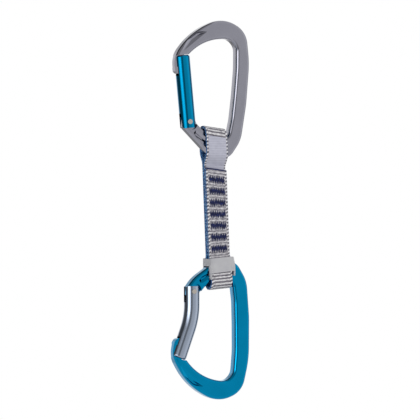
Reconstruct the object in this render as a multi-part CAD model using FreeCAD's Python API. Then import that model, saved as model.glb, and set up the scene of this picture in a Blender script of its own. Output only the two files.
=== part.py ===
import FreeCAD, Part
import math
import os

# Climbing quickdraw: two forged snap-gate carabiners joined by a sewn webbing sling.
# Millimetres. +Z up. The origin is the inner top of the upper carabiner's rope basket,
# which is where the draw hangs from an anchor. Y = 0 is the middle plane of the draw.

V = FreeCAD.Vector

# ---- forged carabiner bodies, drawn hinge end down, origin at the inner top of the basket
BAR_HALF = 5.0                 # half thickness of the forged bar across the draw
OUTER_ROUND = 2.3              # edge rounding of the bar on its outer side
INNER_ROUND = 2.6              # edge rounding of the bar on its inner side
SEAT_ROUND = 4.2               # fuller rounding of the outer side where the webbing wraps it
SEAT = (-11.0, 7.4)            # that seat's reach along the sling basket
# corners of the outer path (x, z, corner radius), from hinge arm round the spine to nose
UPPER_OUTER = [
    (-35.7, -62.1, 0.0),       # hinge arm, run out past the gate
    (-5.4, -88.0, 10.5),       # sling basket, gate side
    (10.0, -89.2, 10.2),       # sling basket, spine side
    (18.5, -74.3, 24.7),       # foot of the spine
    (20.5, -47.1, 80.0),       # spine
    (20.3, -16.2, 80.0),       # spine
    (15.8, 6.8, 16.9),         # rope basket, spine side
    (-3.4, 15.6, 22.9),        # crown of the rope basket
    (-27.55, 2.45, 56.0),      # nose arm
    (-39.6, -16.8, 18.2),      # nose
    (-36.2, -35.0, 0.0),       # nose, run out past its tip
]
# corners of the inner path, from hinge arm to nose
UPPER_INNER = [
    (-25.4, -59.1, 0.0),
    (-5.2, -74.4, 7.0),
    (7.4, -75.8, 6.5),
    (9.5, -59.0, 40.0),
    (10.0, -41.9, 80.0),
    (10.0, -21.9, 80.0),
    (8.6, -3.9, 9.6),
    (1.3, -0.1, 8.1),
    (-18.1, -2.7, 37.5),
    (-31.0, -18.4, 3.0),
    (-28.6, -35.0, 0.0),
]
# the lower body has a broader spine and a hinge arm bowed further out
LOWER_OUTER = [
    (-33.6, -61.8, 0.0),
    (-23.1, -76.7, 30.0),
    (-6.5, -88.2, 10.5),
    (10.4, -89.2, 10.2),
    (19.3, -74.3, 24.7),
    (21.3, -47.1, 80.0),
    (21.1, -16.2, 80.0),
    (15.7, 7.6, 16.9),
    (-3.2, 16.1, 22.9),
    (-27.8, 2.9, 50.0),
    (-39.7, -18.3, 18.2),
    (-36.9, -35.0, 0.0),
]
LOWER_INNER = [
    (-25.4, -56.9, 0.0),
    (-9.4, -75.0, 6.5),
    (7.2, -75.8, 6.5),
    (9.2, -59.0, 40.0),
    (9.6, -41.9, 80.0),
    (9.7, -21.9, 80.0),
    (8.2, -3.9, 9.6),
    (1.3, 0.0, 8.1),
    (-17.5, -2.6, 37.5),
    (-30.2, -18.4, 3.0),
    (-27.6, -35.0, 0.0),
]
# ---- relief sunk in both faces of the forging
FLANGE_HALF = 2.0              # half thickness of the thin inner flange along the spine
FLANGE_FLAT = 0.1              # in-plane width of that flange, clear of the spine's bead
BEAD_BEVEL = 1.4               # bevel of the bead where it rises from the flange
FLANGE_START = -1.2            # where the flange begins in the sling basket
FLANGE_END_ROUND = 1.2         # rounding at both ends of the flange
NOSE_SCOOP_HALF = 3.3          # half thickness left at the deep end of the nose arm's scoop
NOSE_SCOOP = [                 # its edge on the face of the bar
    (-15.0, 4.0, 0.5),
    (-24.2, 2.6, 8.0),
    (-32.6, -5.6, 6.0),
    (-34.6, -14.2, 0.6),
    (-21.2, -1.6, 6.0),
]
NOSE_SCOOP_FLOOR = [           # its deepest part
    (-19.2, 2.6, 0.3),
    (-23.4, 1.2, 1.5),
    (-27.0, -2.0, 1.2),
    (-27.8, -4.4, 0.3),
    (-22.4, 0.2, 1.2),
]
ARM_BEAD = 2.0                 # width of the bead along the hinge arm's outer edge
ARM_FACE_HALF = 4.2            # half thickness of the hinge arm inside that bead
ARM_FACE_END = -2.6            # where the lowered face stops in the sling basket
ARM_SCOOP_HALF = 2.7           # half thickness left at the bottom of the hinge arm's scoop
ARM_SCOOP = [
    (-20.9, -71.9, 1.4),
    (-18.1, -68.3, 1.4),
    (-10.6, -72.4, 6.0),
    (-4.0, -76.0, 1.0),
    (-4.0, -81.0, 1.0),
    (-11.0, -78.6, 6.0),
    (-17.6, -75.6, 2.0),
]
ARM_SCOOP_FLOOR = [
    (-17.9, -72.9, 0.2),
    (-17.5, -72.3, 0.2),
    (-10.9, -76.5, 4.0),
    (-5.0, -79.3, 0.2),
    (-5.0, -79.9, 0.2),
    (-11.0, -77.3, 4.0),
    (-16.9, -74.0, 0.4),
]
LOWER_SCOOP_MOVE = (0.8, -2.7)  # the lower hinge arm's scoop follows its bowed arm
# ---- hinge tongue, about the rivet centre
TONGUE_HALF = 2.0              # half thickness of the hinge tongue
TONGUE = [
    (-4.3, -7.0, 0.5),
    (-5.0, 3.2, 1.6),
    (3.7, 5.1, 2.2),
    (6.0, -0.4, 1.0),
    (8.2, -4.2, 1.0),
    (3.0, -9.2, 1.0),
]
FOOT_GAP = 0.2                 # arm to the gate's foot, all through its travel
GATE_OPENS = 27.0              # degrees
# ---- nose, all reaches measured from the rivet centre
TIP_GAP = 0.2                  # full bar to the tip of the gate
NECK_HALF = 2.3                # half thickness of the nose neck
HEAD_HALF = 2.9                # half thickness of the nose head
HEAD_R = 41.5                  # reach of the head's locking shoulders
TIP_R = 35.2                   # reach of the very tip of the nose
TIP_BEARING = 8.4              # degrees from the pivot's upright to that tip
HOOK_R = 36.6                  # reach of the nose's outer corner
HOOK_BEARING = 22.4
HOOK_ROUND = 4.6
# ---- gates, drawn with the rivet centre as origin and the bar running up
GATE_R = 5.8                   # radius of both gates' bars
STRAIGHT_PIVOT = (-23.55, -64.15)
GATE_REACH = 49.4              # reach of the straight gate past the rivet
GATE_LEAN = 10.35              # degrees the closed straight gate leans to the nose
BENT_PIVOT = (-23.15, -66.7)
BEND_START = 9.7               # straight run before the bend
BEND_RADIUS = 54.0
BEND_ANGLE = 19.6
BENT_TAIL = 22.5               # straight run after the bend
STRAIGHT_FOOT = 4.6            # how far the gate runs past the rivet
BENT_FOOT = 3.9
FOOT_ROUND = 2.0
STRAIGHT_TIP_ROUND = 1.7
BENT_TIP_ROUND = 1.4
FORK_GAP = 0.15                # side clearance of the tongue in the gate's fork
STRAIGHT_FORK = 6.4            # height of the fork slot above the rivet
BENT_FORK = 8.0
KEY_GAP = 0.3                  # clearance of the nose in the gate's key slot
KEY_LEAD = 3.0                 # how far the key slot starts below the head's shoulders
STRAIGHT_KEY_FLOOR = 1.5       # key slot floor, inward of the gate's axis
BENT_KEY_FLOOR = 2.5
BORE_R = 2.0                   # spring bore
BORE_TOP = 21.0                # reach of the bore above the rivet
# ---- rivet, push rod and spring
RIVET_R = 1.5
RIVET_PLAY = 0.05              # radial running clearance in the tongue
RIVET_HEAD_R = 1.85
RIVET_HEAD = 0.65              # head thickness
RIVET_PROUD = 0.15             # how far the head stands off the gate
ROD_R = 1.94
ROD_LONG = 7.0
ROD_GAP = 0.12                 # rod tip to tongue, gate closed
COIL_R = 1.55                  # mean radius of the spring
WIRE_R = 0.26
COIL_TURNS = 7.0
# ---- how the two carabiners stand in the draw
UPPER_TURN = 4.94              # degrees the upper body leans towards its spine
UPPER_AT = (2.59, 0.0, -0.03)
LOWER_AT = (0.0, 0.0, -254.1)
# ---- sewn sling, drawn about its own axis
SLING_X = -9.04                # where the sling's axis crosses Z = 0
SLING_LEAN = 2.3               # degrees the sling leans
WEB_WIDE = 17.0
WEB_THICK = 2.1
PLY = 2.5                      # spacing of the plies where they are sewn together
UPPER_LOOP = 6.75              # half spread of the ply centres round the upper bar
LOWER_LOOP = 6.45              # half spread of the ply centres round the lower bar
LOOP_BEND = 5.2                # bend radius of the ply centres at crown and foot
LOOP_TOP = -67.2               # ply centre at the crown of the upper loop
LOOP_FOOT = -184.6             # ply centre at the foot of the lower loop
FRONT_SPLIT = -93.4            # where the front ply leaves the sewn part for the upper loop
UNDER_BAR = -86.4              # where both sides of the upper loop turn in under the bar
CUT_END = -96.8                # upper end of the strap
HIDDEN_END = -158.6            # lower end of the strap, between the plies
UPPER_SKEW = -10.0             # degrees the upper loop falls towards the spine
LOWER_SKEW = 3.0               # degrees the lower loop rises towards the spine
SKEW_TOP = -99.5               # the plies are straight between these two levels
SKEW_FOOT = -156.9
LABEL_WIDE = 14.0
LABEL_THICK = 0.3
LABEL_SIT = 0.05
LABEL_TOP = -73.0              # upper end of the label's run down the front
LABEL_FOOT = -100.5            # its lower end, caught under the cut end
# ---- bar tacks
TACKS = 7
TACK_TOP = -104.9
TACK_PITCH = 8.5
TACK_WIDE = 11.2
TACK_TALL = 4.2
TACK_PROUD = 0.45              # how far the thread stands off the webbing
THREAD_R = 0.55                # stem of thread through the plies
THREAD_GAP = 0.04
# ---- rubber keeper, drawn about the middle of the sling
KEEPER_X = -1.8
KEEPER_DEEP = 18.3             # across the draw
KEEPER_ROUND = 3.0
KEEPER_CORNERS = [
    (-9.5, -163.2, 0.6),
    (8.3, -161.6, 0.6),
    (10.7, -171.0, 3.0),
    (10.1, -175.7, 0.4),
    (9.0, -175.7, 0.4),
    (9.3, -172.2, 0.4),
    (-8.7, -174.1, 0.4),
    (-8.1, -178.9, 0.4),
    (-9.2, -178.5, 0.4),
    (-9.9, -171.0, 2.0),
]
KEEPER_ROOF = -165.8           # underside of its top
KEEPER_LIP = 0.9               # how far its roof reaches in over the room for the loop
KEEPER_NOTCH = -173.0          # the side openings run straight down from this level
KEEPER_WALL_GAP = 0.25         # edges of the webbing to keeper
KEEPER_FACE_GAP = 0.5          # faces of the webbing to keeper
BAR_GAP = 0.35                 # faces of the carabiner's bar to keeper
BAR_EDGE_GAP = 0.5             # edges of that bar to keeper

FAR = BAR_HALF + 2             # half reach of the tools that cut right through the bar


def unit(a, b):
    """Direction from a to b in the drawing plane."""
    d = math.hypot(b[0] - a[0], b[1] - a[1])
    return ((b[0] - a[0]) / d, (b[1] - a[1]) / d)


def in_xz(u, w):
    return V(u, 0, w)


def in_yz(u, w):
    return V(0, u, w)


def rounded(corners, closed, place=in_xz):
    """Edges of a path with every corner rounded to its radius."""
    n = len(corners)
    marks = []
    for i in range(n):
        x, z, r = corners[i]
        ends = not closed and i in (0, n - 1)
        if ends or r == 0:
            marks.append([(x, z)])
            continue
        a = unit(corners[i], corners[i - 1])
        b = unit(corners[i], corners[(i + 1) % n])
        half = math.acos(max(-1.0, min(1.0, a[0] * b[0] + a[1] * b[1]))) / 2
        t = r / math.tan(half)
        far = r / math.sin(half)
        s = math.hypot(a[0] + b[0], a[1] + b[1])
        m = ((a[0] + b[0]) / s, (a[1] + b[1]) / s)
        first = (x + a[0] * t, z + a[1] * t)
        middle = (x + m[0] * (far - r), z + m[1] * (far - r))
        last = (x + b[0] * t, z + b[1] * t)
        marks.append([first, middle, last])
    edges = []
    for i in range(n):
        m = marks[i]
        if len(m) == 3:
            edges.append(Part.Arc(place(*m[0]), place(*m[1]), place(*m[2])).toShape())
        if closed or i < n - 1:
            p = place(*m[-1])
            q = place(*marks[(i + 1) % n][0])
            if p.distanceToPoint(q) > 1e-6:
                edges.append(Part.LineSegment(p, q).toShape())
    return edges


def shifted(corners, d):
    """The same open path moved d to its left, its roundings kept concentric."""
    out = []
    for i, (x, z, r) in enumerate(corners):
        a = unit(corners[i - 1], corners[i]) if i else None
        b = unit(corners[i], corners[i + 1]) if i < len(corners) - 1 else None
        a = a or b
        b = b or a
        n1 = (-a[1], a[0])
        n2 = (-b[1], b[0])
        k = d / (1 + n1[0] * n2[0] + n1[1] * n2[1])
        left_turn = a[0] * b[1] - a[1] * b[0] > 0
        grown = r - d if left_turn else r + d
        out.append((x + k * (n1[0] + n2[0]), z + k * (n1[1] + n2[1]), grown if r else 0.0))
    return out


def face_of(edges):
    return Part.Face(Part.Wire(Part.sortEdges(edges)[0]))


def slab(corners, y0, y1):
    """A closed rounded outline made solid between two levels of Y."""
    f = face_of(rounded(corners, True))
    f.translate(V(0, y0, 0))
    return f.extrude(V(0, y1 - y0, 0))


def moved(corners, at):
    return [(x + at[0], z + at[1], r) for x, z, r in corners]


def both_faces(corners, floor):
    """Cutter for the same pocket sunk to +-floor in both faces of the bar."""
    return slab(corners, floor, FAR).fuse(slab(corners, -FAR, -floor))


def scoop(edge, deep, floor):
    """Cutter for a sloping hollow in both faces: edge on the face, deep at +-floor."""
    wires = []
    for corners, y in ((edge, BAR_HALF + 0.05), (deep, floor)):
        w = Part.Wire(Part.sortEdges(rounded(corners, True))[0])
        w.translate(V(0, y, 0))
        wires.append(w)
    front = Part.makeLoft(wires, True, True)
    return front.fuse(front.mirror(V(0, 0, 0), V(0, 1, 0)))


def drum(centre, r, y0, y1):
    return Part.makeCylinder(r, y1 - y0, V(centre[0], y0, centre[1]), V(0, 1, 0))


def box(x0, x1, y0, y1, z0, z1):
    return Part.makeBox(x1 - x0, y1 - y0, z1 - z0, V(x0, y0, z0))


def edges_near(shape, path, y_level):
    """Long edges of a slab's two faces that lie on a drawn path."""
    found = []
    for e in shape.Edges:
        m = e.valueAt((e.FirstParameter + e.LastParameter) / 2)
        if abs(abs(m.y) - y_level) > 1e-6:
            continue
        on_plane = Part.Vertex(V(m.x, 0, m.z))
        if min(on_plane.distToShape(p)[0] for p in path) < 1e-3:
            found.append(e)
    return found


def band_face(outer, inner):
    """Flat outline of a bar between its outer and inner paths."""
    ends = []
    for k in (0, -1):
        ends.append(Part.LineSegment(in_xz(*outer[k][:2]), in_xz(*inner[k][:2])).toShape())
    return face_of(rounded(outer, False) + rounded(inner, False) + ends)


def square_bar(outer, inner):
    flat = band_face(outer, inner)
    flat.translate(V(0, -BAR_HALF, 0))
    return flat.extrude(V(0, 2 * BAR_HALF, 0))


def rounded_bar(outer, inner, outer_round, inner_round):
    bar = square_bar(outer, inner)
    bar = bar.makeFillet(outer_round, edges_near(bar, rounded(outer, False), BAR_HALF))
    return bar.makeFillet(inner_round, edges_near(bar, rounded(inner, False), BAR_HALF))


def flange_cut(outer, inner):
    """Cutter that leaves the thin inner flange and the bevelled bead of the spine."""
    foot = shifted(inner, -FLANGE_FLAT)
    bead = square_bar(outer, foot)
    bead = bead.makeChamfer(BEAD_BEVEL, edges_near(bead, rounded(foot, False), BAR_HALF))
    band = shifted(inner, -(FLANGE_FLAT + BEAD_BEVEL + 0.2))
    a, b = band[1], band[2]
    slope = (b[1] - a[1]) / (b[0] - a[0])
    level = a[1] + slope * (FLANGE_START - a[0])
    line = [(FLANGE_START - 1, (inner[0][1] + inner[1][1]) / 2, 0.0)]
    line += [(FLANGE_START, level, FLANGE_END_ROUND)] + band[2:7]
    line += [(band[7][0], band[7][1], FLANGE_END_ROUND), (0.6, inner[6][1] - 6, 0.0)]
    return both_faces(line, FLANGE_HALF).cut(bead)


def forging(outer, inner, gate, scoop_move):
    """The hot-forged body: rounded bar, thin spine flange, scoops, tongue and nose."""
    bar = rounded_bar(outer, inner, OUTER_ROUND, INNER_ROUND)
    seat = box(SEAT[0], SEAT[1], -FAR, FAR, 2 * inner[1][1], inner[1][1] - GATE_R)
    bar = bar.cut(seat.cut(rounded_bar(outer, inner, SEAT_ROUND, INNER_ROUND)))
    px, pz = gate["pivot"]
    tongue_at = moved(TONGUE, gate["pivot"])
    # hinge end: the full bar stops at the gate's foot and a thin tongue goes on
    low = tongue_at[1][0] - 0.1
    arm_end = pz - gate["foot"]
    right = tongue_at[3]
    clear = [
        (low - 4 * GATE_R, right[1] + 3 * GATE_R, 0.0),
        (low - 4 * GATE_R, pz - 3 * GATE_R, 0.0),
        (low, pz - 3 * GATE_R, 0.0),
        (low, arm_end, 0.0),
        (px, arm_end, 0.0),
        (right[0], right[1], 0.0),
        (right[0], right[1] + 3 * GATE_R, 0.0),
    ]
    bar = bar.cut(slab(clear, -FAR, FAR))
    g = FOOT_GAP
    foot = [
        (-GATE_R - g, -gate["foot"] - g, FOOT_ROUND + g),
        (GATE_R + g, -gate["foot"] - g, FOOT_ROUND + g),
        (GATE_R + g, GATE_R, 0.0),
        (-GATE_R - g, GATE_R, 0.0),
    ]
    for i in range(5):
        swept = slab(foot, -FAR, FAR)
        swept.rotate(V(0, 0, 0), V(0, 1, 0), GATE_OPENS * i / 4 - gate["lean"])
        swept.translate(V(px, 0, pz))
        bar = bar.cut(swept)
    # nose end: a neck thinner than the gate, with a thicker head that locks into it
    shoulder = tip_reach(gate) + TIP_GAP
    zone = box(px - shoulder, px + TONGUE_HALF, -FAR, FAR, pz + TIP_R / 2, pz + 1.3 * shoulder)
    neck = drum(gate["pivot"], shoulder, NECK_HALF, FAR)
    neck = neck.cut(drum(gate["pivot"], HEAD_R, NECK_HALF - 1, HEAD_HALF)).common(zone)
    bar = bar.cut(neck).cut(neck.mirror(V(0, 0, 0), V(0, 1, 0)))
    corners = []
    for reach, bearing, r in ((HOOK_R, HOOK_BEARING, HOOK_ROUND), (TIP_R, TIP_BEARING, 1.6)):
        t = math.radians(bearing)
        corners.append((px - reach * math.sin(t), pz + reach * math.cos(t), r))
    (ax, az, _), (bx, bz, _) = corners
    rise = 2 * TIP_R
    keep = [(ax - 0.213 * rise, az + rise, 0.0)] + corners + [(bx + 0.12 * rise, bz + rise, 0.0)]
    low_zone = drum(gate["pivot"], HEAD_R - 0.5, -FAR, FAR).common(zone)
    bar = bar.cut(low_zone.cut(slab(keep, -FAR, FAR)))
    back = box(gate["floor"] - KEY_GAP, 4 * GATE_R, -FAR, FAR, TIP_R / 2, 1.3 * shoulder)
    back = stand(on_tail(back, gate), gate)
    bar = bar.cut(back.common(drum(gate["pivot"], shoulder, -FAR, FAR)))
    # relief
    bar = bar.cut(flange_cut(outer, inner))
    bar = bar.cut(scoop(NOSE_SCOOP, NOSE_SCOOP_FLOOR, NOSE_SCOOP_HALF))
    line = shifted(outer, ARM_BEAD)
    k = len(outer) - len(UPPER_OUTER) + 1
    (x0, z0, _), (x1, z1, _) = line[k - 1], line[k]
    end = (0.1 * x0 + 0.9 * x1, 0.1 * z0 + 0.9 * z1, 0.0)
    face = line[:k] + [end, (ARM_FACE_END, inner[1][1], 0.0), (x0, inner[0][1] + GATE_R, 0.0)]
    bar = bar.cut(both_faces(face, ARM_FACE_HALF))
    arm_scoop = scoop(ARM_SCOOP, ARM_SCOOP_FLOOR, ARM_SCOOP_HALF)
    arm_scoop.translate(V(scoop_move[0], 0, scoop_move[1]))
    bar = bar.cut(arm_scoop)
    tongue = slab(tongue_at, -TONGUE_HALF, TONGUE_HALF)
    over = inner[0][1] + GATE_R
    inside = outer[:k] + [outer[k][:2] + (0.0,), (outer[k][0], over, 0.0), (outer[0][0], over, 0.0)]
    bar = bar.fuse(tongue.common(slab(inside, -FAR, FAR))).removeSplitter()
    return bar.cut(drum(gate["pivot"], RIVET_R + RIVET_PLAY, -FAR, FAR))


def straight():
    """Sizes of the straight gate: its tail is the whole bar."""
    return {
        "pivot": STRAIGHT_PIVOT, "lean": GATE_LEAN, "foot": STRAIGHT_FOOT,
        "fork": STRAIGHT_FORK, "floor": STRAIGHT_KEY_FLOOR, "tip": STRAIGHT_TIP_ROUND,
        "tail_at": (0.0, 0.0), "tilt": 0.0, "tail": GATE_REACH,
    }


def bent():
    """Sizes of the bent gate: its tail starts after the bend."""
    a = math.radians(BEND_ANGLE)
    shift, rise = BEND_RADIUS * (1 - math.cos(a)), BEND_RADIUS * math.sin(a)
    return {
        "pivot": BENT_PIVOT, "lean": 0.0, "foot": BENT_FOOT,
        "fork": BENT_FORK, "floor": BENT_KEY_FLOOR, "tip": BENT_TIP_ROUND,
        "tail_at": (-shift, BEND_START + rise), "tilt": BEND_ANGLE, "tail": BENT_TAIL,
    }


def tip_reach(gate):
    """Reach from the rivet of the furthest point of the gate's tip."""
    a = math.radians(gate["tilt"])
    far = 0.0
    for side in (-1, 1):
        u, w = side * (GATE_R - gate["tip"]), gate["tail"] - gate["tip"]
        x = gate["tail_at"][0] + u * math.cos(a) - w * math.sin(a)
        z = gate["tail_at"][1] + u * math.sin(a) + w * math.cos(a)
        far = max(far, math.hypot(x, z) + gate["tip"])
    return far


def on_tail(shape, gate):
    """Tilts a tool drawn along the upright axis so that it lies along the gate's tail."""
    x, z = gate["tail_at"]
    shape.translate(V(0, 0, -z))
    shape.rotate(V(0, 0, 0), V(0, 1, 0), -gate["tilt"])
    shape.translate(V(x, 0, z))
    return shape


def finish_gate(bar, gate):
    """Foot, fork for the tongue, key slot for the nose, rivet hole and spring bore."""
    r = GATE_R
    side = [
        (-r, -gate["foot"], FOOT_ROUND),
        (r, -gate["foot"], FOOT_ROUND),
        (r, r, 0.0),
        (-r, r, 0.0),
    ]
    bar = bar.cut(box(-2 * r, 2 * r, -2 * r, 2 * r, -2 * r, r).cut(slab(side, -2 * r, 2 * r)))
    half = TONGUE_HALF + FORK_GAP
    bar = bar.cut(box(-2 * r, 2 * r, -half, half, -2 * r, gate["fork"]))
    neck = NECK_HALF + KEY_GAP
    wide = HEAD_HALF + KEY_GAP
    key = box(-2 * r, gate["floor"], -neck, neck, HEAD_R - KEY_LEAD, 2 * HEAD_R)
    ring = drum((0, 0), HEAD_R + KEY_GAP, -wide, wide)
    ring = ring.cut(drum((0, 0), TIP_R - KEY_GAP, -wide - 1, wide + 1))
    room = box(-2 * r, gate["floor"], -wide, wide, TIP_R / 2, 2 * HEAD_R)
    bar = bar.cut(on_tail(key, gate)).cut(ring.common(on_tail(room, gate)))
    bar = bar.cut(drum((0, 0), RIVET_R, -r - 1, r + 1))
    seat = r + RIVET_PROUD - RIVET_HEAD
    bar = bar.cut(drum((0, 0), RIVET_HEAD_R + 0.03, seat, r + 1))
    bar = bar.cut(drum((0, 0), RIVET_HEAD_R + 0.03, -r - 1, -seat))
    start = gate["fork"] - 1
    bar = bar.cut(Part.makeCylinder(BORE_R, BORE_TOP - start, V(0, 0, start)))
    return stand(bar, gate)


def straight_gate():
    gate = straight()
    bar = Part.makeCylinder(GATE_R, GATE_REACH + GATE_R, V(0, 0, -GATE_R))
    rim = [e for e in bar.Edges if e.BoundBox.ZMin > GATE_REACH - 0.1]
    return finish_gate(bar.makeFillet(STRAIGHT_TIP_ROUND, rim), gate)


def bent_gate():
    gate = bent()
    a = math.radians(BEND_ANGLE)
    x, z = gate["tail_at"]
    foot = V(0, 0, -GATE_R)
    low = V(0, 0, BEND_START)
    half = a / 2
    mid = V(-BEND_RADIUS * (1 - math.cos(half)), 0, BEND_START + BEND_RADIUS * math.sin(half))
    top = V(x, 0, z)
    tip = top + V(-math.sin(a), 0, math.cos(a)) * BENT_TAIL
    path = [Part.LineSegment(foot, low).toShape(), Part.Arc(low, mid, top).toShape()]
    path.append(Part.LineSegment(top, tip).toShape())
    ring = Part.Wire(Part.makeCircle(GATE_R, foot, V(0, 0, 1)))
    bar = Part.Wire(path).makePipeShell([ring], True, False)
    rim = [e for e in bar.Edges if e.BoundBox.ZMin > tip.z - 3 and len(e.Vertexes) == 1]
    return finish_gate(bar.makeFillet(BENT_TIP_ROUND, rim), gate)


def rivet(gate):
    """Solid rivet, headed both sides on the gate's fork."""
    half = GATE_R + RIVET_PROUD
    pin = drum(gate["pivot"], RIVET_R, -half, half)
    for y0 in (-half, half - RIVET_HEAD):
        pin = pin.fuse(drum(gate["pivot"], RIVET_HEAD_R, y0, y0 + RIVET_HEAD))
    pin = pin.removeSplitter()
    rims = [e for e in pin.Edges if abs(abs(e.BoundBox.YMin) - half) < 1e-6 and e.Length > 1]
    rims = [e for e in rims if e.BoundBox.YLength < 1e-6]
    return pin.makeFillet(0.25, rims)


def cam_reach(gate):
    """Where the domed rod would touch the tongue's cam face, along the gate's axis."""
    (x0, z0, _), (x1, z1, _) = TONGUE[1:3]
    slope = math.atan2(z1 - z0, x1 - x0)
    lean = math.radians(gate["lean"])
    level = z0 - x0 * math.tan(slope)
    along = level / (math.cos(lean) + math.sin(lean) * math.tan(slope))
    return along + ROD_R / math.cos(slope - lean) - ROD_R


def push_rod(gate):
    """Domed rod between spring and tongue."""
    base = cam_reach(gate) + ROD_GAP
    rod = Part.makeCylinder(ROD_R, ROD_LONG - ROD_R, V(0, 0, base + ROD_R))
    rod = rod.fuse(Part.makeSphere(ROD_R, V(0, 0, base + ROD_R))).removeSplitter()
    return stand(rod, gate)


def spring(gate):
    low = cam_reach(gate) + ROD_GAP + ROD_LONG + WIRE_R + 0.02
    high = BORE_TOP - WIRE_R - 0.02
    pitch = (high - low) / COIL_TURNS
    helix = Part.makeHelix(pitch, high - low, COIL_R)
    wire = Part.Wire(Part.makeCircle(WIRE_R, V(COIL_R, 0, 0), V(0, 1, 0)))
    coil = Part.Wire(helix).makePipeShell([wire], True, True)
    coil.translate(V(0, 0, low))
    return stand(coil, gate)


def stand(shape, gate):
    """From the gate's own axis to its closed place in the body."""
    shape.rotate(V(0, 0, 0), V(0, 1, 0), -gate["lean"])
    shape.translate(V(gate["pivot"][0], 0, gate["pivot"][1]))
    return shape


def as_upper(shape):
    s = shape.copy()
    s.rotate(V(0, 0, 0), V(0, 1, 0), UPPER_TURN)
    s.translate(V(*UPPER_AT))
    return s


def as_lower(shape):
    s = shape.copy()
    s.rotate(V(0, 0, 0), V(1, 0, 0), 180)
    s.translate(V(*LOWER_AT))
    return s


def ply_section(corners, thick, side=0.0):
    """Cross-section of a length of webbing that follows a drawn line."""
    left = shifted(corners, side + thick / 2)
    right = shifted(corners, side - thick / 2)
    edges = rounded(left, False, in_yz) + rounded(right, False, in_yz)
    for k in (0, -1):
        edges.append(Part.LineSegment(in_yz(*left[k][:2]), in_yz(*right[k][:2])).toShape())
    return face_of(edges)


def woven(section, wide, skew):
    """A webbing section carried across the sling's width, rising by skew degrees."""
    section.translate(V(-wide / 2, 0, -wide / 2 * math.tan(math.radians(skew))))
    return section.extrude(V(wide, 0, wide * math.tan(math.radians(skew))))


def in_draw(shape):
    """From the sling's own axis to its place in the draw."""
    shape.rotate(V(0, 0, 0), V(0, 1, 0), -SLING_LEAN)
    shape.translate(V(SLING_X, 0, 0))
    return shape


def crown_line(low):
    """Front ply, over the upper loop and down the back, from level low."""
    u = UPPER_LOOP
    bend = LOOP_BEND
    return [
        (0.0, low, 0.0),
        (0.0, FRONT_SPLIT, 4.0),
        (-u, UNDER_BAR, 5.0),
        (-u, LOOP_TOP, bend),
        (u, LOOP_TOP, bend),
        (u, UNDER_BAR, 5.0),
        (PLY, FRONT_SPLIT, 5.0),
        (PLY, low, 0.0),
    ]


def foot_line(high):
    """Front ply, round the lower loop and up the back, from level high."""
    d = LOWER_LOOP
    bend = LOOP_BEND
    return [
        (-PLY, high, 0.0),
        (-PLY, -161.2, 8.0),
        (-d, -168.6, 8.0),
        (-d, LOOP_FOOT, bend),
        (d, LOOP_FOOT, bend),
        (d, -168.6, 8.0),
        (PLY, -161.2, 8.0),
        (PLY, high, 0.0),
    ]


def strap():
    """One length of webbing: front ply, lower loop, back ply, upper loop, hidden ply."""
    crown = woven(ply_section(crown_line(SKEW_TOP), WEB_THICK), WEB_WIDE, UPPER_SKEW)
    foot = woven(ply_section(foot_line(SKEW_FOOT), WEB_THICK), WEB_WIDE, LOWER_SKEW)
    cut_end = [(-PLY, CUT_END, 0.0), (-PLY, SKEW_TOP, 0.0)]
    cut_end = woven(ply_section(cut_end, WEB_THICK), WEB_WIDE, UPPER_SKEW)
    parts = [crown, foot, cut_end]
    half = WEB_WIDE / 2
    t = WEB_THICK / 2
    high = SKEW_TOP + half * math.tan(math.radians(abs(UPPER_SKEW))) + 0.2
    low = SKEW_FOOT - half * math.tan(math.radians(abs(LOWER_SKEW))) - 0.2
    for y, foot_end in ((-PLY, low), (0.0, HIDDEN_END), (PLY, low)):
        parts.append(box(-half, half, y - t, y + t, foot_end, high))
    web = parts[0]
    for p in parts[1:]:
        web = web.fuse(p)
    web = web.removeSplitter()
    for z in tack_levels():
        for x in tack_stems():
            web = web.cut(drum((x, z), THREAD_R + THREAD_GAP, -9, 9))
    return in_draw(web)


def tack_levels():
    return [TACK_TOP - i * TACK_PITCH for i in range(TACKS)]


def tack_stems():
    return (-TACK_WIDE / 2 + 1.0, TACK_WIDE / 2 - 1.0)


def bar_tack(z):
    """Dense zig-zag thread: a pad on the front, a pad on the back, stems between."""
    face = PLY + WEB_THICK / 2 + 0.02
    half = TACK_WIDE / 2
    tall = TACK_TALL / 2
    shape = None
    for side in (-1, 1):
        y0, y1 = sorted((side * face, side * (face + TACK_PROUD)))
        pad = box(-half, half, y0, y1, z - tall, z + tall)
        shape = pad if shape is None else shape.fuse(pad)
    for x in tack_stems():
        shape = shape.fuse(drum((x, z), THREAD_R, -face - 0.1, face + 0.1))
    return in_draw(shape.removeSplitter())


def label():
    """Thin woven label on the front ply, its foot caught under the cut end."""
    u = UPPER_LOOP
    line = [
        (0.0, LABEL_FOOT, 0.0),
        (0.0, FRONT_SPLIT, 4.0),
        (-u, UNDER_BAR, 5.0),
        (-u, LABEL_TOP, 0.0),
    ]
    side = WEB_THICK / 2 + LABEL_SIT + LABEL_THICK / 2
    return in_draw(woven(ply_section(line, LABEL_THICK, side), LABEL_WIDE, UPPER_SKEW))


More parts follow.
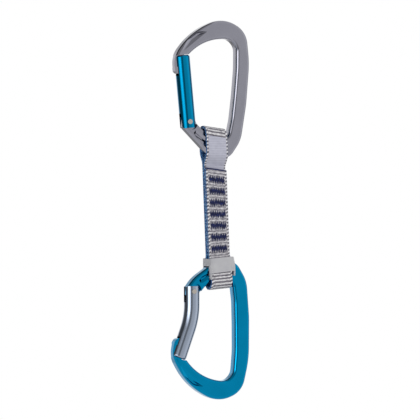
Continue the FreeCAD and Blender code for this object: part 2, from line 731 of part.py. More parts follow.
def keeper():
    """Rubber sleeve over the end of the sling and the lower carabiner's bar."""
    deep = KEEPER_DEEP / 2
    xs = [c[0] for c in KEEPER_CORNERS]
    zs = [c[1] for c in KEEPER_CORNERS]
    body = slab(KEEPER_CORNERS, -deep, deep)
    x0, x1 = min(xs), max(xs)
    low, high = min(zs) - KEEPER_ROUND, max(zs) + KEEPER_ROUND
    plan = [
        (x0, -deep, KEEPER_ROUND),
        (x1, -deep, KEEPER_ROUND),
        (x1, deep, KEEPER_ROUND),
        (x0, deep, KEEPER_ROUND),
    ]
    flat = face_of(rounded(plan, True, lambda u, w: V(u, w, low)))
    body = body.common(flat.extrude(V(0, 0, high - low)))
    wide = WEB_WIDE / 2 + KEEPER_WALL_GAP
    room = LOWER_LOOP + WEB_THICK / 2 + KEEPER_FACE_GAP
    body.translate(V(KEEPER_X, 0, 0))
    body = body.cut(in_draw(box(-wide, wide, -room, room, low, KEEPER_ROOF)))
    slot = room - KEEPER_LIP
    body = body.cut(in_draw(box(-wide, wide, -slot, slot, low, high)))
    # side openings: close round the carabiner's bar, then straight down
    gap = BAR_HALF + BAR_GAP
    bar = band_face(shifted(LOWER_OUTER, -BAR_EDGE_GAP), shifted(LOWER_INNER, BAR_EDGE_GAP))
    bar.translate(V(0, -gap, 0))
    body = body.cut(as_lower(bar.extrude(V(0, 2 * gap, 0))))
    return body.cut(box(-2 * x1, 2 * x1, -gap, gap, low, KEEPER_NOTCH))


def build():
    up, down = straight(), bent()
    parts = {
        "upper_body": as_upper(forging(UPPER_OUTER, UPPER_INNER, up, (0.0, 0.0))),
        "upper_gate": as_upper(straight_gate()),
        "upper_rivet": as_upper(rivet(up)),
        "upper_push_rod": as_upper(push_rod(up)),
        "upper_spring": as_upper(spring(up)),
        "lower_body": as_lower(forging(LOWER_OUTER, LOWER_INNER, down, LOWER_SCOOP_MOVE)),
        "lower_gate": as_lower(bent_gate()),
        "lower_rivet": as_lower(rivet(down)),
        "lower_push_rod": as_lower(push_rod(down)),
        "lower_spring": as_lower(spring(down)),
        "sling_strap": strap(),
        "sling_label": label(),
        "keeper": keeper(),
    }
    for i, z in enumerate(tack_levels()):
        parts["bar_tack_%d" % (i + 1)] = bar_tack(z)
    return parts


os.makedirs("parts", exist_ok=True)
for name, shape in build().items():
    solid = shape.Solids[0] if len(shape.Solids) == 1 else shape
    solid.exportStep("parts/%s.step" % name)
    bb = solid.BoundBox
    size = (bb.XLength, bb.YLength, bb.ZLength)
    print("%-16s solids %d valid %s volume %8.1f size %5.1f %5.1f %5.1f"
          % ((name, len(shape.Solids), shape.isValid(), solid.Volume) + size))
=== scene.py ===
import bpy
import math
from mathutils import Euler, Matrix, Vector


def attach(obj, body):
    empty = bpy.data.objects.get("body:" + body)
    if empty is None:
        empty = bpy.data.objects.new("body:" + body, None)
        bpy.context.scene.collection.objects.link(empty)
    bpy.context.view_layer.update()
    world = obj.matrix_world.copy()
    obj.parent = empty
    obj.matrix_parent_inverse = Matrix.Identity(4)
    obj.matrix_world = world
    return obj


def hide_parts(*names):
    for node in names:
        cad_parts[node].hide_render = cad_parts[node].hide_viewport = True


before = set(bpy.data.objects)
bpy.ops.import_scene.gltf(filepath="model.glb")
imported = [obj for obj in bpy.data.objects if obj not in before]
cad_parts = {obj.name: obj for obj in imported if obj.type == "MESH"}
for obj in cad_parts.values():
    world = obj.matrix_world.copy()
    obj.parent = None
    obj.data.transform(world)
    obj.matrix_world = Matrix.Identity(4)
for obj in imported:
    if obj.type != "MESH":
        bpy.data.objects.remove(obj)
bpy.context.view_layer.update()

# ---------------------------------------------------------------- studio
# The draw hangs in the air before a white backdrop and over a white floor panel. A soft
# box on its gate side and a pale room light it, and the dim stretches beside the box
# draw the dark lines that smooth metal shows.


def linear(hex_colour):
    """An sRGB hex colour as the linear RGBA that shaders take."""
    out = []
    for k in (1, 3, 5):
        c = int(hex_colour[k:k + 2], 16) / 255
        out.append(c / 12.92 if c <= 0.04045 else ((c + 0.055) / 1.055) ** 2.4)
    return (*out, 1.0)


def add(tree, kind, links=None, stops=(), **settings):
    """One node with its settings, what feeds its sockets, and its ramp's stops.

    A socket is fed by a value, by another socket, or by a node, through its first output.
    """
    node = tree.nodes.new(kind)
    for name, value in settings.items():
        setattr(node, name, value)
    for socket, source in (links or {}).items():
        if isinstance(source, bpy.types.Node):
            source = source.outputs[0]
        if isinstance(source, bpy.types.NodeSocket):
            tree.links.new(source, node.inputs[socket])
        else:
            node.inputs[socket].default_value = source
    if stops:
        marks = node.color_ramp.elements
        while len(marks) < len(stops):
            marks.new(0.5)
        for mark, (position, colour) in zip(marks, stops):
            mark.position = position
            mark.color = colour
    return node


def grey(brightness):
    return (brightness, brightness, brightness, 1.0)


VIEW_TURN = math.radians(21.0)       # the camera stands this far round towards the gates
VIEW_WIDTH = 0.3116                  # width of the view at the object
VIEW_DISTANCE = 3.0
VIEW_SIDE = -0.0081                  # where the view's middle lies: sideways and up
VIEW_UP = -0.1272
SENSOR = 36.0
right = Vector((math.cos(VIEW_TURN), -math.sin(VIEW_TURN), 0))
forward = Vector((math.sin(VIEW_TURN), math.cos(VIEW_TURN), 0))
camera_data = bpy.data.cameras.new("camera")
camera = bpy.data.objects.new("camera", camera_data)
bpy.context.scene.collection.objects.link(camera)
camera.location = right * VIEW_SIDE + Vector((0, 0, VIEW_UP)) - forward * VIEW_DISTANCE
camera.rotation_euler = Euler((math.radians(90), 0, -VIEW_TURN))
camera_data.sensor_width = SENSOR
camera_data.lens = SENSOR * VIEW_DISTANCE / VIEW_WIDTH
camera_data.clip_end = 50
bpy.context.scene.camera = camera
bpy.context.scene.view_settings.view_transform = "Standard"

world = bpy.data.worlds.new("studio")
bpy.context.scene.world = world
world.use_nodes = True
tree = world.node_tree
tree.nodes.clear()
sky = add(tree, "ShaderNodeTexCoord").outputs["Generated"]
way = add(tree, "ShaderNodeSeparateXYZ", {0: sky})
front = add(tree, "ShaderNodeMath", {0: way.outputs["Y"], 1: -1.0}, operation="MULTIPLY")
bearing = add(tree, "ShaderNodeMath", {0: way.outputs["X"], 1: front}, operation="ARCTAN2")
turn = add(tree, "ShaderNodeMapRange", {0: bearing, 1: -math.pi, 2: math.pi})


def by_bearing(stops):
    """Brightness by the angle round from straight ahead, in degrees."""
    return add(tree, "ShaderNodeValToRGB", {"Fac": turn},
               [((angle + 180) / 360, grey(bright)) for angle, bright in stops])


def by_height(low, high):
    """0 below one level and 1 above another, as the sine of the angle above the floor."""
    return add(tree, "ShaderNodeMapRange", {0: way.outputs["Z"], 1: low, 2: high})


# The room in three bands, one over the other, and the soft box as a strip by its window.
walls = by_bearing([(-180, 1.2), (-160, 1.2), (-148, 0.4), (-138, 0.2), (-100, 0.14),
                    (-60, 0.15), (-36, 0.26), (-27, 0.45), (-16, 0.18), (-7, 0.70), (4, 0.88),
                    (38, 0.95), (52, 1.25), (70, 1.25), (92, 0.60), (112, 0.55), (135, 1.3),
                    (180, 1.3)])
sweep = by_bearing([(-180, 0.2), (-158, 0.2), (-140, 0.3), (-90, 0.8), (-58, 0.9), (-42, 0.55),
                    (-12, 0.65), (8, 0.95), (60, 1.0), (130, 0.9), (158, 0.6), (180, 0.2)])
roof = by_bearing([(-180, 0.2), (-160, 0.2), (-130, 0.1), (-85, 0.1), (-66, 0.5), (-50, 0.45),
                   (-8, 0.55), (8, 0.95), (60, 1.0), (150, 0.95), (165, 0.6), (180, 0.2)])
strip = by_bearing([(-86, 0.0), (-80, 0.5), (-74, 2.3), (-68, 3.8), (-48, 3.8), (-40, 2.3),
                    (-33, 0.2), (-28, 0.0)])
BOX_LOW, BOX_HIGH = -0.3, 0.5        # heights that the window's brightness runs between
window = add(tree, "ShaderNodeValToRGB", {"Fac": by_height(BOX_LOW, BOX_HIGH)},
             [((level - BOX_LOW) / (BOX_HIGH - BOX_LOW), grey(bright)) for level, bright in
              ((-0.24, 0.0), (-0.12, 0.38), (-0.02, 1.0), (0.12, 1.0), (0.20, 0.62),
               (0.27, 0.36), (0.35, 0.12), (0.45, 0.0))])
shelf = add(tree, "ShaderNodeMix", {0: by_height(-0.12, -0.42), 6: walls, 7: sweep},
            data_type="RGBA").outputs[2]
open_room = add(tree, "ShaderNodeMix", {0: by_height(0.22, 0.52), 6: shelf, 7: roof},
                data_type="RGBA").outputs[2]
soft_box = add(tree, "ShaderNodeMix", {0: 1.0, 6: strip, 7: window}, data_type="RGBA",
               blend_type="MULTIPLY").outputs[2]
room = add(tree, "ShaderNodeMix", {0: 1.0, 6: open_room, 7: soft_box}, data_type="RGBA",
           blend_type="ADD").outputs[2]

# The camera and clear materials see plain white. Mirrors see it on the backdrop behind
# the draw, and the room elsewhere, or the round bars would lose their light and dark.
BACKDROP_TALL = 0.25
path = add(tree, "ShaderNodeLightPath")
direct = add(tree, "ShaderNodeMath", {0: path.outputs["Is Camera Ray"],
                                      1: path.outputs["Is Transmission Ray"]},
             operation="MAXIMUM")
behind = by_bearing([(-180, 0.0), (144, 0.0), (149, 1.0), (169, 1.0), (174, 0.0), (180, 0.0)])
tall = add(tree, "ShaderNodeValToRGB", {"Fac": by_height(-BACKDROP_TALL, BACKDROP_TALL)},
           [(0.0, grey(0.0)), (0.2, grey(1.0)), (0.8, grey(1.0)), (1.0, grey(0.0))])
backdrop = add(tree, "ShaderNodeMath", {0: behind, 1: tall}, operation="MULTIPLY")
mirrored = add(tree, "ShaderNodeMath", {0: path.outputs["Is Glossy Ray"], 1: backdrop},
               operation="MULTIPLY")
seen = add(tree, "ShaderNodeMath", {0: direct, 1: mirrored}, operation="MAXIMUM")
lit = add(tree, "ShaderNodeBackground", {0: room, 1: 1.0})
white = add(tree, "ShaderNodeBackground", {0: grey(1.0), 1: 1.0})
both = add(tree, "ShaderNodeMixShader", {0: seen, 1: lit, 2: white})
add(tree, "ShaderNodeOutputWorld", {0: both})


def blank_material(name):
    """A material with an empty node tree, and that tree."""
    material = bpy.data.materials.new(name)
    material.use_nodes = True
    material.node_tree.nodes.clear()
    return material, material.node_tree


def white_paper():
    """Matt paper: plain white to the camera, mirrors and glass, and lit as paper for light
    that bounces up from it. Nothing that looks at it directly sees a shadow on it.
    """
    material, tree = blank_material("paper sweep")
    path = add(tree, "ShaderNodeLightPath")
    mirrored = add(tree, "ShaderNodeMath", {0: path.outputs["Is Camera Ray"],
                                            1: path.outputs["Is Glossy Ray"]},
                   operation="MAXIMUM")
    seen = add(tree, "ShaderNodeMath", {0: mirrored, 1: path.outputs["Is Transmission Ray"]},
               operation="MAXIMUM")
    matt = add(tree, "ShaderNodeBsdfDiffuse", {0: linear("#f4f4f4")})
    glow = add(tree, "ShaderNodeEmission", {0: grey(1.0), 1: 1.0})
    both = add(tree, "ShaderNodeMixShader", {0: seen, 1: matt, 2: glow})
    add(tree, "ShaderNodeOutputMaterial", {0: both})
    return material


FLOOR = -0.42
FLOOR_HALF = 0.6
floor_mesh = bpy.data.meshes.new("floor")
floor_mesh.from_pydata([(-FLOOR_HALF, -FLOOR_HALF, FLOOR), (FLOOR_HALF, -FLOOR_HALF, FLOOR),
                        (FLOOR_HALF, FLOOR_HALF, FLOOR), (-FLOOR_HALF, FLOOR_HALF, FLOOR)],
                       [], [(0, 1, 2, 3)])
floor_mesh.materials.append(white_paper())
floor = bpy.data.objects.new("floor", floor_mesh)
bpy.context.scene.collection.objects.link(floor)

# ---------------------------------------------------------------- carabiner bodies
# Hot-forged aluminium bars, tumbled smooth and anodised: the upper one grey, the lower
# one blue. The dye sits in a clear oxide, so the metal's own gloss shows through it.
DRIFT_MM = 14.0                      # patches of slightly different dye
GLOSS_MM = 5.0                       # patches of slightly different gloss
PEEN_DEEP = 0.00002                  # metres that tumbling leaves uneven


def patches(tree, size_mm, detail=3.0):
    """Noise in the piece's own space, in patches about size_mm across."""
    where = add(tree, "ShaderNodeTexCoord").outputs["Object"]
    return add(tree, "ShaderNodeTexNoise", {"Vector": where, "Scale": 1000.0 / size_mm,
                                            "Detail": detail})


def anodised(name, base, deep, roughness, grain_mm):
    """Dyed, sealed oxide on aluminium: metal with a little drift in colour and gloss."""
    material, tree = blank_material(name)
    colour = add(tree, "ShaderNodeValToRGB", {"Fac": patches(tree, DRIFT_MM)},
                 [(0.3, linear(deep)), (0.7, linear(base))])
    gloss = add(tree, "ShaderNodeMapRange", {0: patches(tree, GLOSS_MM), 1: 0.3, 2: 0.7,
                                             3: roughness * 0.85, 4: roughness * 1.15})
    peen = add(tree, "ShaderNodeBump", {"Height": patches(tree, grain_mm, 2.0),
                                        "Distance": PEEN_DEEP, "Strength": 0.25})
    skin = add(tree, "ShaderNodeBsdfPrincipled", {
        "Base Color": colour, "Metallic": 1.0, "Roughness": gloss, "Normal": peen})
    add(tree, "ShaderNodeOutputMaterial", {0: skin})
    return material


def finish_node(name, material):
    """A CAD piece kept as it is and given its real finish."""
    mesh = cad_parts[name].data
    mesh.materials.clear()
    mesh.materials.append(material)


finish_node("upper_body", anodised("grey anodised forging", base="#8f8f99", deep="#8a8a94",
                                   roughness=0.13, grain_mm=1.6))
finish_node("lower_body", anodised("blue anodised forging", base="#057fab", deep="#047aa4",
                                   roughness=0.13, grain_mm=1.6))

# ---------------------------------------------------------------- gates
# Turned aluminium bar, anodised after machining: blue on the grey body, grey on the blue
# one. It is a little smoother than the forgings, so the room lies along it as clean lines.
finish_node("upper_gate", anodised("blue anodised bar", base="#0479a2", deep="#04759d",
                                   roughness=0.11, grain_mm=1.1))
finish_node("lower_gate", anodised("grey anodised bar", base="#949eae", deep="#909aaa",
                                   roughness=0.12, grain_mm=1.1))

# ---------------------------------------------------------------- rivets, push rods, springs
# Stainless steel: a turned and headed rivet holds each gate in its body's tongue, and in
# the gate's bore a wound spring pushes a ground rod against that tongue to close it.
TURNING_MM = 0.8                     # patches that turning and grinding leave


def stainless(name, colour, roughness):
    """Bare stainless steel: one tone, with the gloss a little uneven from the tool."""
    material, tree = blank_material(name)
    gloss = add(tree, "ShaderNodeMapRange", {0: patches(tree, TURNING_MM), 1: 0.3, 2: 0.7,
                                             3: roughness * 0.8, 4: roughness * 1.2})
    skin = add(tree, "ShaderNodeBsdfPrincipled", {
        "Base Color": linear(colour), "Metallic": 1.0, "Roughness": gloss})
    add(tree, "ShaderNodeOutputMaterial", {0: skin})
    return material


turned_steel = stainless("turned stainless steel", "#b2ada6", roughness=0.3)
spring_steel = stainless("drawn spring steel", "#b9b9bc", roughness=0.25)
for level in ("upper", "lower"):
    finish_node(level + "_rivet", turned_steel)
    finish_node(level + "_push_rod", turned_steel)
    finish_node(level + "_spring", spring_steel)

# ---------------------------------------------------------------- strap
# One length of heavy nylon webbing, woven with cross ribs and a beaded selvedge, with a
# pale face and a blue back. It runs down the front, round the lower bar, up the back,
# over the upper bar and down inside. Sizes here are in millimetres.
MM = 0.001
STRAP_WIDE = 17.0
STRAP_THICK = 2.1
SLING_SIDE = -9.04                   # where the sling's axis crosses the level Z = 0
SLING_LEAN = 2.3                     # degrees it leans
PLY = 2.5                            # spacing of the plies where they are sewn together
UPPER_SPREAD = 6.75                  # half spread of the plies round each bar
LOWER_SPREAD = 6.45
LOOP_BEND = 5.2
CROWN = -67.2                        # levels along the route, from the top down
UNDER_BAR = -86.4
UPPER_SPLIT = -93.4
CUT_END = -96.8
HIDDEN_END = -158.6
LOWER_SPLIT = -161.2
OVER_BAR = -168.6
FOOT = -184.6
STRAP_LINE = [                       # y, z and bend radius along the middle of the ply
    (-PLY, CUT_END, 0.0),
    (-PLY, LOWER_SPLIT, 8.0),
    (-LOWER_SPREAD, OVER_BAR, 8.0),
    (-LOWER_SPREAD, FOOT, LOOP_BEND),
    (LOWER_SPREAD, FOOT, LOOP_BEND),
    (LOWER_SPREAD, OVER_BAR, 8.0),
    (PLY, LOWER_SPLIT, 8.0),
    (PLY, UPPER_SPLIT, 5.0),
    (UPPER_SPREAD, UNDER_BAR, 5.0),
    (UPPER_SPREAD, CROWN, LOOP_BEND),
    (-UPPER_SPREAD, CROWN, LOOP_BEND),
    (-UPPER_SPREAD, UNDER_BAR, 5.0),
    (0.0, UPPER_SPLIT, 4.0),
    (0.0, HIDDEN_END, 0.0),
]
STATION_STEP = 0.36                  # spacing of the mesh's rings along the strap
ACROSS_STEPS = 26
EDGE_STEPS = 8
EDGE_ROUND = 0.55                    # how far the rounded edge reaches in
END_PINCH = 0.8                      # length over which a cut end gets thin
HIDDEN_RUN = 75.0                    # length at the hidden end that lies between plies
RIB_PITCH = 2.25
RIB_RISE = 0.16
BEAD_PITCH = 2.6
BEAD_RISE = 0.22
BEAD_SLANT = 0.4
SELVEDGE = 1.7                       # width of the beaded edge
UPPER_FALL = -0.176                  # slope of the cross ribs in each loop
LOWER_RISE = 0.0524
STRAIGHT_FOOT = -160.0               # the slope goes from one to the other over this
STRAIGHT_RUN = 65.0
SEWN_TOP = -93.5                     # between these heights the plies are sewn flat
SEWN_END = -169.0
SEWN_PRESS = 0.72                    # share of the relief that the sewing presses out
HIDDEN_PRESS = 0.75                  # how much of that the hidden ply loses
TACK_LEVELS = [-104.9 - 8.5 * i for i in range(7)]
TACK_PULL = 0.12                     # how deep a tack draws the webbing in
TACK_NEAR = 1.8                      # from full depth this far off its middle
TACK_FAR = 3.4                       # to none here
WEAVE_SINK = 0.1                     # how far the weave's middle lies under the plain face
WEAVE_DEEPEST = 0.3
BACK_WEAVE = 0.5                     # share of the relief that shows on the back
sling_place = (Matrix.Translation((SLING_SIDE * MM, 0, 0))
               @ Matrix.Rotation(math.radians(-SLING_LEAN), 4, "Y"))


def straights_and_arcs(corners):
    """The route as straights and the arcs that round its corners."""
    points = [Vector((c[0], c[1])) for c in corners]
    pieces = []
    at = points[0]
    for k in range(1, len(points)):
        radius = corners[k][2]
        if k == len(points) - 1 or radius == 0:
            pieces.append(("line", at, points[k]))
            at = points[k]
            continue
        heading = (points[k] - points[k - 1]).normalized()
        leaving = (points[k + 1] - points[k]).normalized()
        swing = heading.angle_signed(leaving)
        run = radius * math.tan(abs(swing) / 2)
        start = points[k] - heading * run
        pieces.append(("line", at, start))
        pieces.append(("arc", start, heading, swing, radius))
        at = points[k] + leaving * run
    return pieces


def walk(corners, step):
    """Stations (place, direction, distance run) along a line of straights and arcs."""
    stations = []
    run = 0.0
    for kind, start, *rest in straights_and_arcs(corners):
        if kind == "line":
            way = rest[0] - start
            end = rest[0]
            heading = way.normalized()
            length = way.length
            n = max(1, round(length / step))
            for i in range(n):
                stations.append((start + way * (i / n), heading, run + length * i / n))
        else:
            heading, swing, radius = rest
            length = abs(swing) * radius
            n = max(2, round(length / step))
            centre = start + Vector((heading.y, -heading.x)) * math.copysign(radius, swing)
            for i in range(n):
                turned = Matrix.Rotation(-swing * i / n, 2)
                stations.append((centre + turned @ (start - centre), turned @ heading,
                                 run + length * i / n))
        run += length
    stations.append((end, heading, run))
    return stations


def smooth(x, low, high):
    t = min(1.0, max(0.0, (x - low) / (high - low)))
    return t * t * (3 - 2 * t)


def fall(z):
    """Slope of the webbing's cross ribs at a height: down to the right at the top."""
    t = min(1.0, max(0.0, (z - STRAIGHT_FOOT) / STRAIGHT_RUN))
    return LOWER_RISE + (UPPER_FALL - LOWER_RISE) * t


def strap_rise(x, z, run, covered):
    """How far the woven surface stands off the plain ply."""
    inner = STRAP_WIDE / 2 - SELVEDGE
    edge = smooth(abs(x), inner, inner + 0.4)
    rib = RIB_RISE * math.cos(2 * math.pi * run / RIB_PITCH)
    bead = BEAD_RISE * math.cos(2 * math.pi * (run + x * BEAD_SLANT) / BEAD_PITCH)
    rise = rib * (1 - edge) + bead * edge
    sewn = smooth(z, SEWN_END, SEWN_END + 6) * (1 - smooth(z, SEWN_TOP - 3, SEWN_TOP))
    rise *= 1.0 - SEWN_PRESS * max(sewn * (1 - edge), HIDDEN_PRESS if covered else 0.0)
    if LOWER_SPLIT - 0.8 < z < CUT_END - 1.2:
        near = min(abs(z - level) for level in TACK_LEVELS)
        rise -= TACK_PULL * (1 - smooth(near, TACK_NEAR, TACK_FAR)) * (1 - edge)
    return rise


def strap_ring():
    """The strap's section: (x, side) points, where side is 1 on the face, -1 on the back."""
    flat = STRAP_WIDE / 2 - EDGE_ROUND
    across = [-flat + 2 * flat * i / ACROSS_STEPS for i in range(ACROSS_STEPS + 1)]
    angles = [math.pi * k / EDGE_STEPS for k in range(1, EDGE_STEPS)]
    return ([(x, 1.0) for x in across]
            + [(flat + EDGE_ROUND * math.sin(a), math.cos(a)) for a in angles]
            + [(x, -1.0) for x in reversed(across)]
            + [(-flat - EDGE_ROUND * math.sin(a), -math.cos(a)) for a in angles])


def make_strap():
    """The section carried along the route, with its weave's relief and its attributes."""
    stations = walk(STRAP_LINE, STATION_STEP)
    ring = strap_ring()
    size = len(ring)
    last = stations[-1][2]
    verts = []
    info = {"along": [], "across": [], "face": [], "height": [], "end": []}
    for place, heading, run in stations:
        outward = Vector((heading.y, -heading.x))
        end = min(run, last - run)
        pinch = 0.55 + 0.45 * smooth(end, 0.0, END_PINCH)
        covered = run > last - HIDDEN_RUN
        for x, side in ring:
            rise = STRAP_THICK / 2 * pinch * side
            if abs(side) > 0.99:
                # Folded at the plain face: what would lie under it stands proud by as much,
                # so each crest of the mesh is where the painted rib shade is dark.
                woven = strap_rise(x, place.y, run, covered) - WEAVE_SINK
                woven = abs(max(-WEAVE_DEEPEST, woven))
                rise += woven if side > 0 else -BACK_WEAVE * woven
            y, z = place + outward * rise
            z += x * fall(place.y)
            verts.append(sling_place @ (Vector((x, y, z)) * MM))
            for name, value in zip(info, (run, x, side, place.y, end)):
                info[name].append(value)
    faces = [tuple(range(size))[::-1],
             tuple(range((len(stations) - 1) * size, len(stations) * size))]
    for s in range(len(stations) - 1):
        for k in range(size):
            m = (k + 1) % size
            faces.append((s * size + k, s * size + m, (s + 1) * size + m, (s + 1) * size + k))
    mesh = bpy.data.meshes.new("strap")
    mesh.from_pydata(verts, [], faces)
    for name, values in info.items():
        mesh.attributes.new(name, "FLOAT", "POINT").data.foreach_set("value", values)
    mesh.shade_smooth()
    obj = bpy.data.objects.new("strap_webbing", mesh)
    bpy.context.scene.collection.objects.link(obj)
    return obj


def webbing_material():
    """Nylon yarn, soft sheen: pale flecked face with painted rib shade, fainter where sewn; blue
    back.
    """
    material, tree = blank_material("woven nylon webbing")
    along, across, face, height, end = (
        add(tree, "ShaderNodeAttribute", attribute_name=name).outputs["Fac"]
        for name in ("along", "across", "face", "height", "end"))
    line = add(tree, "ShaderNodeCombineXYZ", {0: along, 1: across, 2: face})

    def flecks(size, detail):
        """Noise drawn out along the yarns; size is the number of blotches per mm."""
        scaled = add(tree, "ShaderNodeVectorMath", {0: line, 1: size}, operation="MULTIPLY")
        return add(tree, "ShaderNodeTexNoise", {"Vector": scaled, "Scale": 1.0,
                                                "Detail": detail, "Roughness": 0.65})

    def wave(distance, pitch):
        """Painted light and shade by turns, one turn for each rib or bead."""
        turns = add(tree, "ShaderNodeMath", {0: distance, 1: 2 * math.pi / pitch},
                    operation="MULTIPLY")
        return add(tree, "ShaderNodeMath", {0: turns}, operation="COSINE")

    slant = add(tree, "ShaderNodeMath", {0: across, 1: BEAD_SLANT, 2: along},
                operation="MULTIPLY_ADD")
    off = add(tree, "ShaderNodeMath", {0: across}, operation="ABSOLUTE")
    edge = add(tree, "ShaderNodeMath", {0: off, 1: STRAP_WIDE / 2 - SELVEDGE},
               operation="GREATER_THAN")
    low = add(tree, "ShaderNodeMapRange", {0: height, 1: SEWN_END, 2: SEWN_END + 5})
    top = add(tree, "ShaderNodeMapRange", {0: height, 1: SEWN_TOP, 2: SEWN_TOP - 3})
    sewn = add(tree, "ShaderNodeMath", {0: low, 1: top}, operation="MULTIPLY")
    # Painted shade of the ribs, and of the beads at the edges: the colour darkens and lightens
    # with them, less where the plies are sewn flat.
    rib_shade_depth = add(tree, "ShaderNodeMix", {0: sewn, 2: 0.24, 3: 0.10})
    rib_shade = add(tree, "ShaderNodeMath", {0: wave(along, RIB_PITCH), 1: rib_shade_depth},
                 operation="MULTIPLY")
    bead_shade = add(tree, "ShaderNodeMath", {0: wave(slant, BEAD_PITCH), 1: 0.30},
                 operation="MULTIPLY")
    # Painted rib shade in the middle, painted bead shade at the edges; random flecks are added to
    # it next.
    shaded = add(tree, "ShaderNodeMix", {0: edge, 2: rib_shade, 3: bead_shade})
    flecks_and_shade = add(tree, "ShaderNodeMath", {0: shaded, 1: flecks((1.5, 0.42, 1.0), 3.0)},
                 operation="ADD")
    pale = add(tree, "ShaderNodeValToRGB", {"Fac": flecks_and_shade}, [
        (0.28, linear("#5f5c66")), (0.45, linear("#9a979f")), (0.58, linear("#c2c0c5")),
        (0.74, linear("#f2f1f3"))])
    blue = add(tree, "ShaderNodeValToRGB", {"Fac": flecks((1.3, 1.3, 1.3), 2.0)}, [
        (0.38, linear("#0b2f66")), (0.52, linear("#175593")), (0.62, linear("#86bdee"))])
    is_face = add(tree, "ShaderNodeMath", {0: face, 1: 0.92}, operation="GREATER_THAN")
    outside = add(tree, "ShaderNodeMix", {0: is_face, 6: blue, 7: pale},
                  data_type="RGBA").outputs[2]
    sealed = add(tree, "ShaderNodeMath", {0: end, 1: 1.0}, operation="LESS_THAN")
    colour = add(tree, "ShaderNodeMix", {0: sealed, 6: outside, 7: linear("#1b2452")},
                 data_type="RGBA").outputs[2]
    cloth = add(tree, "ShaderNodeBsdfPrincipled", {
        "Base Color": colour, "Roughness": 0.75, "Sheen Weight": 0.1,
        "Sheen Roughness": 0.5, "Specular IOR Level": 0.3})
    add(tree, "ShaderNodeOutputMaterial", {0: cloth})
    return material


strap = make_strap()
strap.data.materials.append(webbing_material())
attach(strap, "sling")
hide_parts("sling_strap")

# ---------------------------------------------------------------- label
# A thin satin-woven tape laid on the upper loop's front, its foot caught under the
# strap's cut end. It is left plain.
WEAVE_PITCH = 1.7765                 # mm, far coarser than its threads, so that it shows
WAVE_TURNS = 20.0                    # radians of a wave texture in one unit at scale 1


def tape_material():
    """Satin-woven polyester: fine cross lines and a soft sheen, almost one tone."""
    material, tree = blank_material("satin woven tape")
    where = add(tree, "ShaderNodeTexCoord").outputs["Object"]
    weave = add(tree, "ShaderNodeTexWave", {
        "Vector": where, "Scale": 2 * math.pi / (WAVE_TURNS * WEAVE_PITCH * MM),
        "Distortion": 0.4}, bands_direction="Z").outputs["Fac"]
    lines = add(tree, "ShaderNodeMath", {0: weave, 1: 0.3}, operation="MULTIPLY")
    mix = add(tree, "ShaderNodeMath", {0: patches(tree, 3.0), 1: 0.7, 2: lines},
              operation="MULTIPLY_ADD")
    colour = add(tree, "ShaderNodeValToRGB", {"Fac": mix},
                 [(0.3, linear("#b6b7c7")), (0.7, linear("#c6c7d6"))])
    bump = add(tree, "ShaderNodeBump", {"Height": weave, "Distance": 0.00006,
                                        "Strength": 0.4})
    cloth = add(tree, "ShaderNodeBsdfPrincipled", {
        "Base Color": colour, "Roughness": 0.6, "Sheen Weight": 0.3,
        "Specular IOR Level": 0.4, "Normal": bump})
    add(tree, "ShaderNodeOutputMaterial", {0: cloth})
    return material


finish_node("sling_label", tape_material())

# ---------------------------------------------------------------- bar tacks
# Seven dense zig-zags of navy polyester thread, each sewn through all the plies, so each
# shows the same on the front and the back.
TACK_WIDE = 12.4
TACK_TALL = 5.0
TACK_THREAD = 0.52                   # half width of a stroke, three threads side by side
TACK_STROKES = 17
TACK_OUT = 3.72                      # how far the thread lies from the middle plane
TACK_FLAT = 0.8                      # thickness left where the thread is pulled flat
STROKE_SHIFT = 0.12                  # how unevenly the strokes lie along and across
STROKE_JUMP = 0.22
STROKE_REACH = 0.6                   # half length of a stroke as a share of the height
SHORT_STROKE = 0.80                  # every other stroke is shorter, for a ragged edge
LONG_MORE = 0.32


def thread_material():
    """Bonded polyester thread: deep navy with a fine sheen along the twist."""
    material, tree = blank_material("bonded polyester thread")
    colour = add(tree, "ShaderNodeValToRGB", {"Fac": patches(tree, 0.9)}, [
        (0.35, linear("#060d33")), (0.6, linear("#0e1b52")), (0.75, linear("#1c2f72"))])
    thread = add(tree, "ShaderNodeBsdfPrincipled", {
        "Base Color": colour, "Roughness": 0.6, "Sheen Weight": 0.04,
        "Specular IOR Level": 0.3})
    add(tree, "ShaderNodeOutputMaterial", {0: thread})
    return material


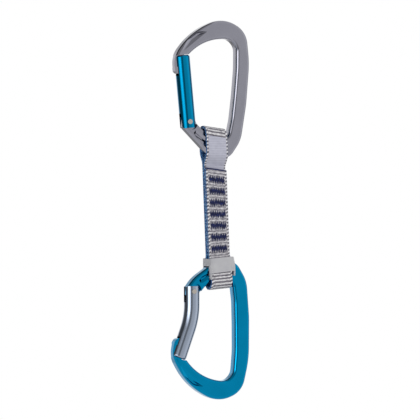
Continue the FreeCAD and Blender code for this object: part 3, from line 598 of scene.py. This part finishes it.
def tack_tree(material):
    """Zig-zag strokes on a line: alternate lean, uneven ends, flattened on the webbing."""
    tree = bpy.data.node_groups.new("zig-zag tack", "GeometryNodeTree")
    face = tree.interface
    face.new_socket("Geometry", in_out="OUTPUT", socket_type="NodeSocketGeometry")
    for name, kind, value in (("Wide", "NodeSocketFloat", 1.0), ("Tall", "NodeSocketFloat", 1.0),
                              ("Thread", "NodeSocketFloat", 0.1), ("Strokes", "NodeSocketInt", 9),
                              ("Seed", "NodeSocketInt", 0)):
        face.new_socket(name, in_out="INPUT", socket_type=kind).default_value = value
    given = tree.nodes.new("NodeGroupInput").outputs
    wide, tall, thick = given["Wide"], given["Tall"], given["Thread"]

    def uneven(low, high, salt):
        """A random amount for each stroke; salt keeps two amounts apart."""
        seed = add(tree, "ShaderNodeMath", {0: given["Seed"], 1: salt}, operation="ADD")
        return add(tree, "FunctionNodeRandomValue", {2: low, 3: high, "Seed": seed},
                   data_type="FLOAT").outputs[1]

    gaps = add(tree, "ShaderNodeMath", {0: given["Strokes"], 1: 1.0}, operation="SUBTRACT")
    pitch = add(tree, "ShaderNodeMath", {0: wide, 1: gaps}, operation="DIVIDE")
    left = add(tree, "ShaderNodeMath", {0: wide, 1: -0.5}, operation="MULTIPLY")
    row = add(tree, "GeometryNodeMeshLine", {
        "Count": given["Strokes"],
        "Start Location": add(tree, "ShaderNodeCombineXYZ", {0: left}),
        "Offset": add(tree, "ShaderNodeCombineXYZ", {0: pitch})})
    nudge = add(tree, "ShaderNodeCombineXYZ", {
        0: uneven(-STROKE_SHIFT * MM, STROKE_SHIFT * MM, 3),
        2: uneven(-STROKE_JUMP * MM, STROKE_JUMP * MM, 5)})
    moved = add(tree, "GeometryNodeSetPosition", {"Geometry": row, "Offset": nudge})
    index = add(tree, "GeometryNodeInputIndex")
    odd = add(tree, "ShaderNodeMath", {0: index, 1: 2.0}, operation="MODULO")
    side = add(tree, "ShaderNodeMath", {0: odd, 1: 2.0, 2: -1.0}, operation="MULTIPLY_ADD")
    slope = add(tree, "ShaderNodeMath", {0: pitch, 1: tall}, operation="ARCTAN2")
    lean = add(tree, "ShaderNodeMath", {0: side, 1: slope}, operation="MULTIPLY")
    tooth = add(tree, "ShaderNodeMath", {0: odd, 1: LONG_MORE, 2: SHORT_STROKE},
                operation="MULTIPLY_ADD")
    ragged = add(tree, "ShaderNodeMath", {0: tooth, 1: uneven(0.86, 1.06, 7)},
                 operation="MULTIPLY")
    reach = add(tree, "ShaderNodeMath", {0: tall, 1: STROKE_REACH}, operation="MULTIPLY")
    size = add(tree, "ShaderNodeCombineXYZ", {
        0: thick,
        1: add(tree, "ShaderNodeMath", {0: thick, 1: 0.75}, operation="MULTIPLY"),
        2: add(tree, "ShaderNodeMath", {0: reach, 1: ragged}, operation="MULTIPLY")})
    stroke = add(tree, "GeometryNodeMeshUVSphere", {"Segments": 8, "Rings": 8, "Radius": 1.0})
    sewn = add(tree, "GeometryNodeInstanceOnPoints", {
        "Points": moved, "Instance": stroke, "Scale": size,
        "Rotation": add(tree, "ShaderNodeCombineXYZ", {1: lean})})
    real = add(tree, "GeometryNodeRealizeInstances", {0: sewn})
    shaded = add(tree, "GeometryNodeSetShadeSmooth", {"Geometry": real})
    painted = add(tree, "GeometryNodeSetMaterial", {"Geometry": shaded, "Material": material})
    add(tree, "NodeGroupOutput", {0: painted})
    return tree


def grown(name, tree, inputs):
    """The plain mesh that a node tree grows from the given inputs."""
    seed = bpy.data.objects.new(name, bpy.data.meshes.new(name))
    bpy.context.scene.collection.objects.link(seed)
    modifier = seed.modifiers.new("grow", "NODES")
    modifier.node_group = tree
    for item in tree.interface.items_tree:
        if item.item_type == "SOCKET" and item.in_out == "INPUT" and item.name in inputs:
            modifier[item.identifier] = inputs[item.name]
    bpy.context.view_layer.update()
    depsgraph = bpy.context.evaluated_depsgraph_get()
    mesh = bpy.data.meshes.new_from_object(seed.evaluated_get(depsgraph))
    bpy.data.objects.remove(seed)
    return mesh


thread = thread_material()
tack_nodes = tack_tree(thread)
for i, level in enumerate(TACK_LEVELS):
    verts = []
    faces = []
    for side in (-1, 1):
        sewn = grown("sewn", tack_nodes, {
            "Wide": (TACK_WIDE - 2 * TACK_THREAD) * MM, "Tall": TACK_TALL * MM,
            "Thread": TACK_THREAD * MM, "Strokes": TACK_STROKES, "Seed": 11 * i + side + 1})
        first = len(verts)
        for v in sewn.vertices:
            x, y, z = v.co
            y = y * TACK_FLAT + side * TACK_OUT * MM
            z = z + level * MM + x * fall(level)
            verts.append(sling_place @ Vector((x, y, z)))
        faces += [tuple(first + k for k in p.vertices) for p in sewn.polygons]
    tack = bpy.data.meshes.new("tack_%d" % (i + 1))
    tack.from_pydata(verts, [], faces)
    tack.shade_smooth()
    tack.materials.append(thread)
    obj = bpy.data.objects.new("tack_%d_thread" % (i + 1), tack)
    bpy.context.scene.collection.objects.link(obj)
    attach(obj, "sling")
    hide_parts("bar_tack_%d" % (i + 1))

# ---------------------------------------------------------------- keeper
# Moulded rubber sleeve, pale grey with a satin skin, stretched over the end of the sling
# and the lower bar so that the rope-side carabiner can't turn.


def rubber_material():
    """Moulded rubber: pale and even, with a fine pebble from the mould that dulls it."""
    material, tree = blank_material("moulded rubber")
    colour = add(tree, "ShaderNodeValToRGB", {"Fac": patches(tree, 6.0)},
                 [(0.3, linear("#bbbbc0")), (0.7, linear("#c4c4c7"))])
    bump = add(tree, "ShaderNodeBump", {"Height": patches(tree, 0.6), "Distance": 0.00003,
                                        "Strength": 0.3})
    skin = add(tree, "ShaderNodeBsdfPrincipled", {
        "Base Color": colour, "Roughness": 0.55, "IOR": 1.5, "Normal": bump})
    add(tree, "ShaderNodeOutputMaterial", {0: skin})
    return material


finish_node("keeper", rubber_material())
